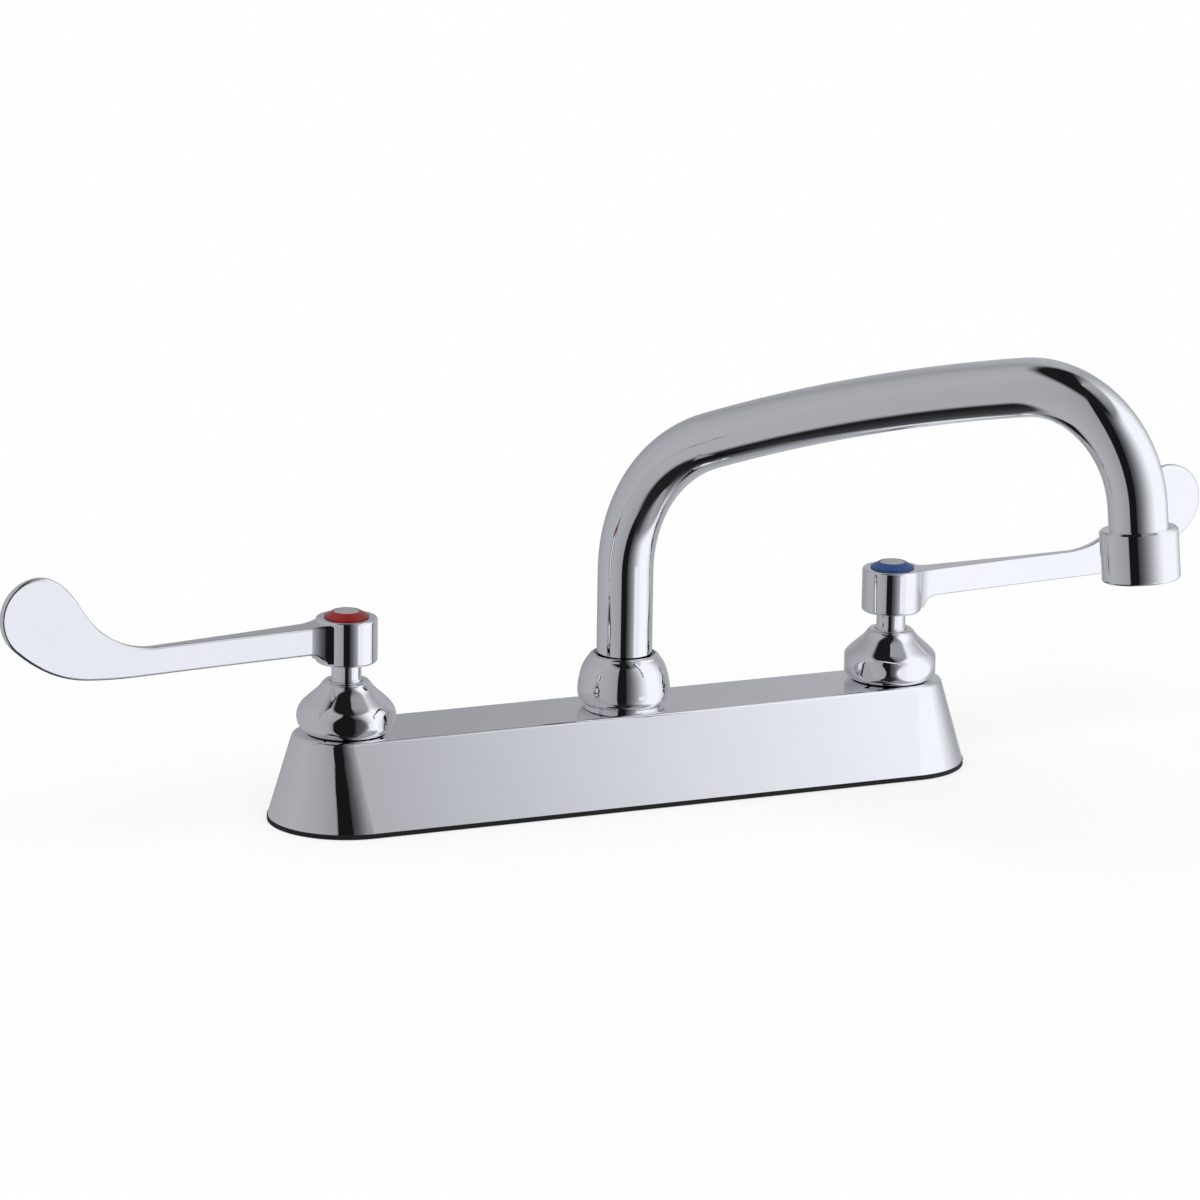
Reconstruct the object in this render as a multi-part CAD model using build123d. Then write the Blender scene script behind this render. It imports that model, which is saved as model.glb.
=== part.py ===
from build123d import *
import math
import os

# Frame: millimetres, +Z up, the deck is z = 0 and the spout turns about x = y = 0.
# X runs along the two valves, hot at -X and cold at +X. The user stands at -Y.

os.makedirs("parts", exist_ok=True)

# Driving sizes
CENTRES = 203.2
HALF = CENTRES / 2
TUBE_R = 9.525
TUBE_WALL = 1.25

# Clearances between two pieces, radial or flat
RUN = 0.08
FILM = 0.05
SLIP = 0.1
THREAD = 0.05
FREE = 0.4

# Gasket and base casting
GASKET_T = 1.6
GASKET_PROUD = 0.2
GASKET_LAND = 6.0
BASE_TOP = 30.3
BASE_R_LOW = 26.4
GASKET_R = BASE_R_LOW + GASKET_PROUD
BASE_R_TOP = 15.1
BASE_HALF_TOP = HALF + 3.2
BASE_WALL = 3.0
BASE_EDGE = 1.6
RIB_X = HALF / 2
RIB_T = 2.5
WATER_R = 4.0
WATER_WALL = 2.2
WATER_Z = BASE_TOP - WATER_WALL - WATER_R - 0.1

# Valve stack, from the waterway down to the inlet thread, 1/2 in pipe size
DISC_T = 2.5
SEAT_T = 2.0
WEB_T = 2.0
MOVING_TOP = WATER_Z - 1.4
MOVING_LOW = MOVING_TOP - DISC_T + FILM
FIXED_TOP = MOVING_LOW - FILM
SEAT_TOP = FIXED_TOP - DISC_T
WEB_TOP = SEAT_TOP - SEAT_T
INLET_R = 9.3
INLET_TOP = WEB_TOP - WEB_T
WEB_HOLE_R = 5.5
PORT_R = WEB_HOLE_R + 1.1
PORT_W = 7.0
PORT_BRIDGE = 4.0
TONGUE = 4.0
TONGUE_H = 1.0

# Valve neck of the base and the cartridge in it
NECK_R = 12.6
NECK_H = 8.2
NECK_WALL = 2.5
NECK_TOP = BASE_TOP + NECK_H
SOCKET_R = NECK_R - NECK_WALL
HOUSING_R = SOCKET_R - SLIP
HOUSING_WALL = 1.4
CAVITY_R = HOUSING_R - HOUSING_WALL
CAVITY_TOP = WATER_Z + 3.5
FLANGE_R = NECK_R - 0.6
FLANGE_TOP = NECK_TOP + 2.5
HOUSING_SEAL_Z = NECK_TOP - 5.4
HOUSING_GROOVE = 1.2
SEAT_R = CAVITY_R - 0.2
FIXED_R = CAVITY_R - SLIP
MOVING_R = CAVITY_R - FREE

# Stem
STEM_R = 3.4
STEM_BORE_R = STEM_R + RUN
STEM_GROOVE = 0.9
STEM_SEALS = (NECK_TOP - 6.5, NECK_TOP - 1.5)
STEM_NECK_R = STEM_BORE_R + 1.57
STEM_RING_R = STEM_NECK_R + 0.4
DRIVE_R = 6.0
DRIVE_TOP = MOVING_TOP + 2.6
SQUARE = 5.0

# Bonnet: offset from the neck's radius and height over the bonnet's foot
BONNET_LOW = BASE_TOP + SLIP
BONNET_H = 17.8
BONNET_TOP = BONNET_LOW + BONNET_H
BONNET_LIP = 0.8
BONNET_TOP_R = NECK_R - 5.3
BONNET_WALL = [
    (0.9, 0.0),
    (2.6, 1.2),
    (3.75, 3.2),
    (4.15, 5.2),
    (3.85, 7.5),
    (2.7, 9.7),
    (0.7, 11.7),
    (-1.55, 13.7),
    (-3.4, 15.5),
    (-4.5, 17.0),
]
FLATS = 6
FLAT_HALF = NECK_R + 2.75

# Handle hub
HUB_R = 10.41
HUB_H = 15.34
HUB_LOW = BONNET_TOP + 6.36
HUB_TOP = HUB_LOW + HUB_H
STEM_NECK_TOP = HUB_LOW + 1.04
SQUARE_LOW = STEM_NECK_TOP + 0.6
HUB_FLOOR = HUB_LOW + 9.94
STEM_TOP = HUB_FLOOR - 2 * SLIP
WELL_FLOOR = HUB_FLOOR + 2.1
WELL_R = 4.25
SCREW_R = 1.95
SCREW_LONG = 7.5
SCREW_HEAD_R = WELL_R - 0.65
SCREW_HEAD_H = 2.3
BUTTON_R = 7.59
BUTTON_SEAT = HUB_TOP - 0.7
CAP_R = 4.3

# Handle blade in the plane of the arm: distance back from the tip, height over the arm's underside, heading
HANDLE_REACH = 126.9
ARM_LOW = HUB_LOW + 4.44
ARM_H = 9.5
ARM_TOP = ARM_LOW + ARM_H
PADDLE_RIM = [
    (54.9, ARM_H, 0.0),
    (30.4, 22.6, 55.0),
    (23.7, 32.0, 47.0),
    (13.5, 37.2, 1.0),
    (0.0, 24.4, -89.0),
    (14.1, 6.5, -149.0),
    (46.9, 0.0, -180.0),
]
RIM_ROUND = 0.8
FLARE_X = HUB_R + 5.6
FLARE_HALF = 3.95
MIDDLE_HALF = 2.05
TIP_HALF = 1.35
HOT_REST_DEG = 187.9
COLD_REST_DEG = 4.42
HOT_FLAT_DEG = -108.5
COLD_FLAT_DEG = -84.3

# Spout neck, nut and spigot
SPOUT_NECK_WALL = 3.3
SPOUT_BORE_R = TUBE_R + 0.175
SPOUT_NECK_R = SPOUT_BORE_R + SPOUT_NECK_WALL
SPOUT_NECK_TOP = BASE_TOP + 10.7
CHAMBER_LOW = WATER_Z - WATER_R - 2.0
SEAT_RING_R = SPOUT_NECK_R + 0.8
SEAT_RING_TOP = BASE_TOP + 0.9
PLUG_R = SPOUT_BORE_R - RUN
PLUG_LOW = WATER_Z + WATER_R + 0.6
SPOUT_SEALS = (SPOUT_NECK_TOP - 8.8, SPOUT_NECK_TOP - 3.8)
SPOUT_GROOVE = 1.5
SPIGOT_FLANGE_R = SPOUT_NECK_R - 1.4
TUBE_LOW = SPOUT_NECK_TOP + 2.5
SPIGOT_IN_TUBE = 12.0
SPIGOT_TOP = TUBE_LOW + SPIGOT_IN_TUBE
SPIGOT_SLEEVE_WALL = 1.925
SPIGOT_SLEEVE_R = TUBE_R - TUBE_WALL - THREAD
SPIGOT_BORE_R = SPIGOT_SLEEVE_R - SPIGOT_SLEEVE_WALL
NUT_LOW = SEAT_RING_TOP + 2 * SLIP
NUT_HOLE_R = TUBE_R + 1.075
NUT_ROOF = TUBE_LOW + 2.3
NUT_WALL = [
    (0.9, 0.0),
    (2.1, 1.0),
    (2.85, 3.2),
    (2.8, 6.0),
    (2.3, 9.0),
    (1.55, 11.8),
    (0.4, 14.2),
    (-0.9, 15.9),
]
NUT_LIP = (-1.35, 16.7)
NUT_H = 17.1
NUT_TOP = NUT_LOW + NUT_H

# Spout: rise, first bend, slow bow, second bend and tip
SPOUT_REST_DEG = -60.87
RISE = 33.84
BEND_1_R = 53.65
BEND_1_DEG = 69.21
BOW_R = 759.0
BOW_DEG = 9.75
BEND_2_R = 36.78
BEND_2_DEG = 95.13
TIP_STRAIGHT = 7.02

# Outlet collar and aerator
COLLAR_R = TUBE_R + 3.075
COLLAR_H = 16.7
COLLAR_DEPTH = 9.0
COLLAR_BORE_R = COLLAR_R - 1.8
AERATOR_R = COLLAR_BORE_R - SLIP
WASHER_T = 1.85
WASHER_BORE_R = AERATOR_R - 3.1
SCREEN_T = 0.65
WIRE_T = 0.5
WIRE_PITCH = 2.0
INSERT_RECESS = 0.9
JET_R = 1.1
JET_PITCH = AERATOR_R * 0.336
JET_RINGS = 2


def save(name, shape):
    shape.label = name
    export_step(shape, "parts/" + name + ".step")


def cyl(r, z0, z1, x=0.0, y=0.0):
    return Pos(x, y, (z0 + z1) / 2) * Cylinder(r, z1 - z0)


def ring(r_out, r_in, z0, z1):
    return cyl(r_out, z0, z1) - cyl(r_in, z0 - 1, z1 + 1)


def block(x, y, z0, z1):
    return Pos(0, 0, (z0 + z1) / 2) * Box(x, y, z1 - z0)


def turned(*lines):
    return revolve(make_face(list(lines)), Axis.Z)


def at(points):
    return [(r, 0, z) for r, z in points]


def seal_ring(r_in, r_out, z):
    half = (r_out - r_in) / 2
    return Pos(0, 0, z) * Torus(r_in + half, half)


def obround_loft(r_low, half_low, z_low, r_top, half_top, z_top):
    low = Pos(0, 0, z_low) * SlotCenterToCenter(2 * half_low, 2 * r_low)
    top = Pos(0, 0, z_top) * SlotCenterToCenter(2 * half_top, 2 * r_top)
    return loft([low.faces()[0], top.faces()[0]], ruled=True)


def base_casting():
    outer = obround_loft(BASE_R_LOW, HALF, GASKET_T, BASE_R_TOP, BASE_HALF_TOP, BASE_TOP)
    outer = fillet(outer.faces().sort_by(Axis.Z)[-1].edges(), BASE_EDGE)
    inner = obround_loft(
        BASE_R_LOW - BASE_WALL,
        HALF,
        GASKET_T - 1,
        BASE_R_TOP - BASE_WALL,
        BASE_HALF_TOP,
        BASE_TOP - BASE_WALL,
    )
    inside = cyl(SPOUT_NECK_R, GASKET_T, BASE_TOP)
    inside += Pos(0, 0, WATER_Z) * Rot(0, 90, 0) * Cylinder(WATER_R + WATER_WALL, CENTRES)
    for side in (-1, 1):
        inside += cyl(NECK_R, GASKET_T, BASE_TOP, side * HALF)
        inside += Pos(side * RIB_X, 0, 0) * block(RIB_T, 2 * GASKET_R, GASKET_T, BASE_TOP)
    casting = (outer - inner) + (outer & inside)
    casting += cyl(SPOUT_NECK_R, BASE_TOP - 1, SPOUT_NECK_TOP)
    casting += cyl(SEAT_RING_R, BASE_TOP - 1, SEAT_RING_TOP)
    for side in (-1, 1):
        casting += cyl(NECK_R, BASE_TOP - 1, NECK_TOP, side * HALF)
    casting -= Pos(0, 0, WATER_Z) * Rot(0, 90, 0) * Cylinder(WATER_R, CENTRES)
    casting -= cyl(SPOUT_BORE_R, CHAMBER_LOW, SPOUT_NECK_TOP + 1)
    casting -= cyl(SPOUT_NECK_R - BASE_WALL, GASKET_T - 1, CHAMBER_LOW - BASE_WALL)
    for side in (-1, 1):
        casting -= cyl(INLET_R, GASKET_T - 1, INLET_TOP, side * HALF)
        casting -= cyl(WEB_HOLE_R, GASKET_T, WEB_TOP + 1, side * HALF)
        casting -= cyl(SOCKET_R, WEB_TOP, NECK_TOP + 1, side * HALF)
    return casting


def base_gasket():
    gasket = extrude(SlotCenterToCenter(CENTRES, 2 * GASKET_R), GASKET_T)
    width = 2 * (BASE_R_LOW - BASE_WALL - GASKET_LAND)
    pockets = (
        (SPOUT_NECK_R, RIB_X - RIB_T / 2),
        (RIB_X + RIB_T / 2, HALF - NECK_R),
    )
    for side in (-1, 1):
        gasket -= cyl(INLET_R + 1.2, -1, GASKET_T + 1, side * HALF)
        for near, far in pockets:
            window = RectangleRounded(far - near - 2 * GASKET_LAND, width, GASKET_LAND)
            gasket -= Pos(side * (near + far) / 2, 0, -1) * extrude(window, GASKET_T + 2)
    return gasket


# Valve pieces, each made once about the Z axis
def cartridge_housing():
    body = cyl(HOUSING_R, WEB_TOP + FREE, NECK_TOP + 0.5)
    body += cyl(FLANGE_R, NECK_TOP, FLANGE_TOP)
    body += cyl(STEM_NECK_R, FLANGE_TOP - 1, STEM_NECK_TOP)
    body += cyl(STEM_RING_R, BONNET_TOP - 0.6, BONNET_TOP + BONNET_LIP)
    body -= cyl(CAVITY_R, WEB_TOP, CAVITY_TOP)
    body -= cyl(STEM_BORE_R, CAVITY_TOP - 1, STEM_NECK_TOP + 1)
    body -= block(3 * HOUSING_R, 9, MOVING_TOP + FREE, CAVITY_TOP)
    body -= ring(HOUSING_R + 1, HOUSING_R - HOUSING_GROOVE, HOUSING_SEAL_Z - 1.1, HOUSING_SEAL_Z + 1.1)
    return body


def fixed_disc():
    ports = block(4 * PORT_R, PORT_W, SEAT_TOP - 1, FIXED_TOP + 1) & cyl(PORT_R, SEAT_TOP - 1, FIXED_TOP + 1)
    ports -= block(PORT_BRIDGE, 4 * PORT_R, SEAT_TOP - 1, FIXED_TOP + 1)
    return cyl(FIXED_R, SEAT_TOP, FIXED_TOP) - ports


def moving_disc():
    disc = cyl(MOVING_R, MOVING_LOW, MOVING_TOP)
    notch = block(PORT_W + 1, MOVING_R, MOVING_LOW - 1, MOVING_TOP + 1)
    shift = MOVING_R / 2 + TONGUE / 2 + 0.6
    disc -= Pos(0, shift, 0) * notch + Pos(0, -shift, 0) * notch
    return disc - block(TONGUE + 2 * SLIP, TONGUE + 2 * SLIP, MOVING_TOP - TONGUE_H - SLIP, MOVING_TOP + 1)


def seat_seal():
    return ring(SEAT_R, WEB_HOLE_R + 0.8, WEB_TOP, SEAT_TOP)


def stem():
    body = cyl(STEM_R, DRIVE_TOP - 1, SQUARE_LOW)
    body += cyl(DRIVE_R, MOVING_TOP, DRIVE_TOP)
    body += block(TONGUE, TONGUE, MOVING_TOP - TONGUE_H, MOVING_TOP + 1)
    body += block(SQUARE, SQUARE, SQUARE_LOW - 1, STEM_TOP) & cyl(STEM_R, SQUARE_LOW - 1, STEM_TOP)
    body -= cyl(SCREW_R + THREAD, STEM_TOP - SCREW_LONG - 1, STEM_TOP + 1)
    for z in STEM_SEALS:
        body -= ring(STEM_R + 1, STEM_R - STEM_GROOVE, z - 0.55, z + 0.55)
    return body


def stem_orings():
    return Compound(children=[seal_ring(STEM_R - STEM_GROOVE, STEM_BORE_R - FILM, z) for z in STEM_SEALS])


def housing_oring():
    return seal_ring(HOUSING_R - HOUSING_GROOVE, SOCKET_R - FILM / 5, HOUSING_SEAL_Z)


# Bonnet: a turned bell whose widest band is cut to six wrench flats
def bonnet(flat_deg):
    wall_points = [(NECK_R + r, BONNET_LOW + z) for r, z in BONNET_WALL]
    rim = wall_points[-1]
    wall = Spline(*at(wall_points))
    rest = Polyline(*at([rim, (BONNET_TOP_R, BONNET_TOP), (0, BONNET_TOP), (0, BONNET_LOW), wall_points[0]]))
    hexagon = Pos(0, 0, BONNET_LOW - 1) * RegularPolygon(FLAT_HALF, FLATS, major_radius=False)
    body = turned(wall, rest) & Rot(0, 0, flat_deg - 180 / FLATS) * extrude(hexagon, BONNET_H + 2)
    body -= cyl(NECK_R + THREAD, BONNET_LOW - 1, FLANGE_TOP)
    roof = BONNET_TOP - 2.6
    cone = [(0, FLANGE_TOP - 1), (NECK_R - 2, FLANGE_TOP - 1), (NECK_R - 2, FLANGE_TOP), (NECK_R - 6.2, roof), (0, roof)]
    body -= turned(Polyline(*at(cone), close=True))
    return body - cyl(STEM_RING_R + 0.15, roof - 1, BONNET_TOP + 1)


def heading(degrees):
    return Vector(math.cos(math.radians(degrees)), 0, math.sin(math.radians(degrees)))


# Two tangent arcs from one point and heading to the next
def biarc(start, start_deg, stop, stop_deg):
    a = heading(start_deg)
    b = heading(stop_deg)
    across = stop - start
    bend = 2 * (1 - a.dot(b))
    along = across.dot(a + b)
    reach = (math.sqrt(along * along + bend * across.dot(across)) - along) / bend
    middle = (start + a * reach + stop - b * reach) * 0.5
    return [TangentArc(start, middle, tangent=a), TangentArc(stop, middle, tangent=b * -1)]


# Blade: the side outline of arm and paddle, cut by the tapered plan of the arm
def handle_blade():
    stations = [(Vector(HANDLE_REACH - back, 0, ARM_LOW + up), turn) for back, up, turn in PADDLE_RIM]
    rim = []
    for (start, start_deg), (stop, stop_deg) in zip(stations, stations[1:]):
        rim += biarc(start, start_deg, stop, stop_deg)
    inner = HUB_R - 6.4
    foot = (HUB_R - 0.11, 0, HUB_LOW + 1.24)
    crown = (HUB_R - 1.0, 0, HUB_TOP - 0.9)
    under = Line(stations[-1][0], (FLARE_X, 0, ARM_LOW))
    curve_low = TangentArc((FLARE_X, 0, ARM_LOW), foot, tangent=(-1, 0, 0))
    end = Polyline(foot, (inner, 0, foot[2]), (inner, 0, crown[2]), crown)
    curve_top = Spline(crown, (FLARE_X, 0, ARM_TOP), tangents=((1, 0, -0.06), (1, 0, 0)))
    over = Line((FLARE_X, 0, ARM_TOP), stations[0][0])
    outline = make_face(rim + [under, curve_low, end, curve_top, over])
    side = extrude(Pos(0, -HUB_R, 0) * outline, 2 * HUB_R, dir=(0, 1, 0))
    low = HUB_LOW - 5
    beyond = HANDLE_REACH + 3.1
    face = ThreePointArc((FLARE_X, FLARE_HALF, low), (HANDLE_REACH * 0.473, MIDDLE_HALF, low), (beyond, TIP_HALF, low))
    root = (HUB_R - 2.2, HUB_R - 4.0, low)
    flare = TangentArc(face @ 0, root, tangent=(face % 0) * -1)
    back = Polyline(root, (inner, HUB_R - 4.4, low), (inner, 0, low), (beyond, 0, low), (beyond, TIP_HALF, low))
    plan = extrude(make_face([face, flare, back]), HANDLE_REACH / 2, dir=(0, 0, 1))
    plan += mirror(plan, about=Plane.XZ)
    blade = side & plan
    rims = [e for e in blade.edges() if e.center().X > HUB_R + 1.8 and abs(e.center().Y) > 0.3 and e.length > 4]
    return fillet(rims, RIM_ROUND)


def handle():
    hub = cyl(HUB_R, HUB_LOW, HUB_TOP)
    hub = fillet(hub.edges().group_by(Axis.Z)[0], 1.1)
    hub = fillet(hub.edges().group_by(Axis.Z)[-1], 0.8)
    body = hub + handle_blade()
    body -= cyl(STEM_NECK_R + 0.55, HUB_LOW - 1, SQUARE_LOW + 0.2)
    across = SQUARE + 2 * SLIP
    body -= block(across, across, SQUARE_LOW - 0.2, HUB_FLOOR) & cyl(STEM_R + SLIP, SQUARE_LOW - 1, HUB_FLOOR)
    body -= cyl(SCREW_R + 0.25, HUB_FLOOR - 1, WELL_FLOOR + 1)
    body -= cyl(WELL_R, WELL_FLOOR, HUB_TOP + 1)
    return body - cyl(BUTTON_R + SLIP, BUTTON_SEAT, HUB_TOP + 1)


def handle_screw():
    head_top = WELL_FLOOR + SCREW_HEAD_H
    body = cyl(SCREW_R, STEM_TOP - SCREW_LONG, WELL_FLOOR + 0.5)
    body += cyl(SCREW_HEAD_R, WELL_FLOOR, head_top)
    return body - Pos(0, 0, head_top) * extrude(RegularPolygon(1.5, 6), 1.6, both=True)


def index_ring():
    section = [
        (CAP_R + THREAD, BUTTON_SEAT),
        (BUTTON_R, BUTTON_SEAT),
        (BUTTON_R, BUTTON_SEAT + 1.15),
        (CAP_R + 0.5, BUTTON_SEAT + 2.75),
        (CAP_R + THREAD, BUTTON_SEAT + 2.75),
    ]
    return turned(Polyline(*at(section), close=True))


def index_cap():
    top = BUTTON_SEAT + 3.25
    edge = BUTTON_SEAT + 2.7
    dome = ThreePointArc((0, 0, top), (CAP_R / 2, 0, top - 0.13), (CAP_R, 0, edge))
    return turned(dome, Polyline(*at([(CAP_R, edge), (CAP_R, BUTTON_SEAT), (0, BUTTON_SEAT), (0, top)])))


FIXED_PIECES = {
    "cartridge_housing": cartridge_housing,
    "fixed_disc": fixed_disc,
    "seat_seal": seat_seal,
    "housing_oring": housing_oring,
}
TURNING_PIECES = {
    "moving_disc": moving_disc,
    "stem": stem,
    "stem_orings": stem_orings,
    "handle": handle,
    "handle_screw": handle_screw,
    "index_ring": index_ring,
    "index_cap": index_cap,
}


def save_valve(name, x, handle_turn, flat_deg):
    save(name + "_bonnet", Pos(x, 0, 0) * bonnet(flat_deg))
    for piece, make in FIXED_PIECES.items():
        save(name + "_" + piece, Pos(x, 0, 0) * make())
    for piece, make in TURNING_PIECES.items():
        save(name + "_" + piece, Pos(x, 0, 0) * Rot(0, 0, handle_turn) * make())


# Spout nut: a turned bell over the neck, with a rounded lip round its hole
def spout_nut():
    foot_r = SPOUT_NECK_R + NUT_WALL[0][0]
    points = [(SPOUT_NECK_R + r, NUT_LOW + z) for r, z in NUT_WALL]
    wall = Spline(*at(points))
    lip_low = at(points)[-1]
    lip_middle = (SPOUT_NECK_R + NUT_LIP[0], 0, NUT_LOW + NUT_LIP[1])
    lip = ThreePointArc(lip_low, lip_middle, (NUT_HOLE_R, 0, NUT_TOP))
    room_r = SPIGOT_FLANGE_R + FREE
    inside = [
        (NUT_HOLE_R, NUT_TOP),
        (NUT_HOLE_R, NUT_ROOF),
        (room_r, NUT_ROOF),
        (room_r, SPOUT_NECK_TOP + 2 * SLIP),
        (SPOUT_NECK_R + THREAD, SPOUT_NECK_TOP + 2 * SLIP),
        (SPOUT_NECK_R + THREAD, NUT_LOW),
        (foot_r, NUT_LOW),
    ]
    return turned(wall, lip, Polyline(*at(inside)))


def spout_bearing_ring():
    return ring(SPIGOT_FLANGE_R + FREE - FILM, TUBE_R + RUN, TUBE_LOW + FILM, NUT_ROOF)


def spout_spigot():
    spigot = cyl(PLUG_R, PLUG_LOW, SPOUT_NECK_TOP + 1)
    spigot += cyl(SPIGOT_FLANGE_R, SPOUT_NECK_TOP + FILM, TUBE_LOW)
    spigot += cyl(SPIGOT_SLEEVE_R, TUBE_LOW - 1, SPIGOT_TOP)
    spigot -= cyl(SPIGOT_BORE_R, PLUG_LOW - 1, SPIGOT_TOP + 1)
    for z in SPOUT_SEALS:
        spigot -= ring(PLUG_R + 1, PLUG_R - SPOUT_GROOVE, z - 0.85, z + 0.85)
    return spigot


def spout_orings():
    return Compound(children=[seal_ring(PLUG_R - SPOUT_GROOVE, SPOUT_BORE_R - FILM, z) for z in SPOUT_SEALS])


# Spout centre line in its own plane, x outward and y up, and the frame at its open end
rise = Line((0, TUBE_LOW), (0, TUBE_LOW + RISE))
bend_1 = JernArc(rise @ 1, rise % 1, BEND_1_R, -BEND_1_DEG)
bow = JernArc(bend_1 @ 1, bend_1 % 1, BOW_R, -BOW_DEG)
bend_2 = JernArc(bow @ 1, bow % 1, BEND_2_R, -BEND_2_DEG)
tip_dir = bend_2 % 1
collar_point = bend_2 @ 1 + tip_dir * TIP_STRAIGHT
tip = Line(bend_2 @ 1, collar_point + tip_dir * COLLAR_DEPTH)
outlet = Plane(
    (collar_point.X, 0, collar_point.Y),
    x_dir=(0, 1, 0),
    z_dir=(-tip_dir.X, 0, -tip_dir.Y),
)


def spout_tube():
    path = Plane.XZ * Wire([rise, bend_1, bow, bend_2, tip])
    start = Plane((0, 0, TUBE_LOW), x_dir=(1, 0, 0), z_dir=(0, 0, 1))
    bore = sweep(start * Circle(TUBE_R - TUBE_WALL), path=path)
    return sweep(start * Circle(TUBE_R), path=path) - bore


# Outlet pieces, made about Z with the collar's top at 0
def outlet_collar():
    collar = cyl(COLLAR_R, -COLLAR_H, 0)
    collar = chamfer(collar.edges().group_by(Axis.Z)[-1], 0.7)
    collar = fillet(collar.edges().group_by(Axis.Z)[0], 1.0)
    collar -= cyl(TUBE_R + THREAD, -COLLAR_DEPTH, 1)
    return collar - cyl(COLLAR_BORE_R, -COLLAR_H - 1, -COLLAR_DEPTH)


WASHER_TOP = -COLLAR_DEPTH - FILM
SCREEN_TOP = WASHER_TOP - WASHER_T - FILM
INSERT_TOP = SCREEN_TOP - SCREEN_T - FILM


def aerator_washer():
    return ring(AERATOR_R, WASHER_BORE_R, WASHER_TOP - WASHER_T, WASHER_TOP)


def aerator_screen():
    low = SCREEN_TOP - SCREEN_T
    screen = ring(AERATOR_R, AERATOR_R - 1.3, low, SCREEN_TOP)
    disc = cyl(AERATOR_R - 0.9, low, SCREEN_TOP)
    wire = block(2 * AERATOR_R, WIRE_T, low + 0.1, low + 0.1 + WIRE_T)
    wires = int((AERATOR_R - 1.3) / WIRE_PITCH)
    for k in range(-wires, wires + 1):
        screen += (Pos(0, WIRE_PITCH * k, 0) * wire) & disc
        screen += (Rot(0, 0, 90) * Pos(0, WIRE_PITCH * k, 0) * wire) & disc
    return screen


def aerator_insert():
    insert = cyl(AERATOR_R, -COLLAR_H + INSERT_RECESS, INSERT_TOP)
    insert -= cyl(JET_R, -COLLAR_H, 0)
    for jet_ring in range(1, JET_RINGS + 1):
        radius = jet_ring * JET_PITCH
        for k in range(6 * jet_ring):
            angle = math.pi * k / (3 * jet_ring)
            insert -= cyl(JET_R, -COLLAR_H, 0, radius * math.cos(angle), radius * math.sin(angle))
    return insert


save("base_casting", base_casting())
save("base_gasket", base_gasket())
save_valve("hot", -HALF, HOT_REST_DEG, HOT_FLAT_DEG)
save_valve("cold", HALF, COLD_REST_DEG, COLD_FLAT_DEG)
save("spout_nut", spout_nut())
save("spout_bearing_ring", spout_bearing_ring())
save("spout_spigot", spout_spigot())
save("spout_orings", spout_orings())
turn_spout = Rot(0, 0, SPOUT_REST_DEG)
save("spout_tube", turn_spout * spout_tube())
for make in (outlet_collar, aerator_washer, aerator_screen, aerator_insert):
    save(make.__name__, turn_spout * (outlet.location * make()))
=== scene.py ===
"""Studio scene of a chromed deck faucet: long base, two wristblade valves and a swinging spout.

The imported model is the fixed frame. Every length is in metres and every angle in degrees,
apart from the few values whose names or comments say otherwise.
"""

import logging
import math
from dataclasses import dataclass
from enum import Enum

import bpy
import numpy as np
from mathutils import Matrix, Vector

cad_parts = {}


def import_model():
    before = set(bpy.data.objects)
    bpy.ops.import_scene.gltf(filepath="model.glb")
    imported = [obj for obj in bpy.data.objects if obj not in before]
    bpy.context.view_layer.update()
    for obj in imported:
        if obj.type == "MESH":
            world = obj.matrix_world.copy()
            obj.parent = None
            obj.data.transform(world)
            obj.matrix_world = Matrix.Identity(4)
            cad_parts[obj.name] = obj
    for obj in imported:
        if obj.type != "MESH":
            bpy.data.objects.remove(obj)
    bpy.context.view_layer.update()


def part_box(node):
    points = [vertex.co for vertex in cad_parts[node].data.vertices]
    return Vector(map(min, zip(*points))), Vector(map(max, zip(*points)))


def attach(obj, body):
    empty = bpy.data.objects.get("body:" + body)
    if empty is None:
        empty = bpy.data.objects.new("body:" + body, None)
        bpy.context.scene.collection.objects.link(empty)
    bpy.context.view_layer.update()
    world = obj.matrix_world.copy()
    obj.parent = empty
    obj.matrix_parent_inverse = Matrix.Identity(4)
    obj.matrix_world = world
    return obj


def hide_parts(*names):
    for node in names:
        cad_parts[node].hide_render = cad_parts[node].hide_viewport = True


LOG = logging.getLogger("faucet")

Colour = tuple[float, float, float]
Stops = list[tuple[float, float]]

MM = 0.001
SHARP_DEG = 50.0
PLAIN = (1.0, 1.0, 1.0)

# A noise factor rarely leaves this range
NOISE_LOW = 0.3
NOISE_HIGH = 0.7


class Side(Enum):
    """The two valves of the faucet, named by the water they carry."""

    HOT = "hot"
    COLD = "cold"


class Grain(Enum):
    """How the surface under a chrome plate was made, which sets its faint waves."""

    CAST = "cast"
    DRAWN = "drawn"
    TURNED = "turned"


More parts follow.
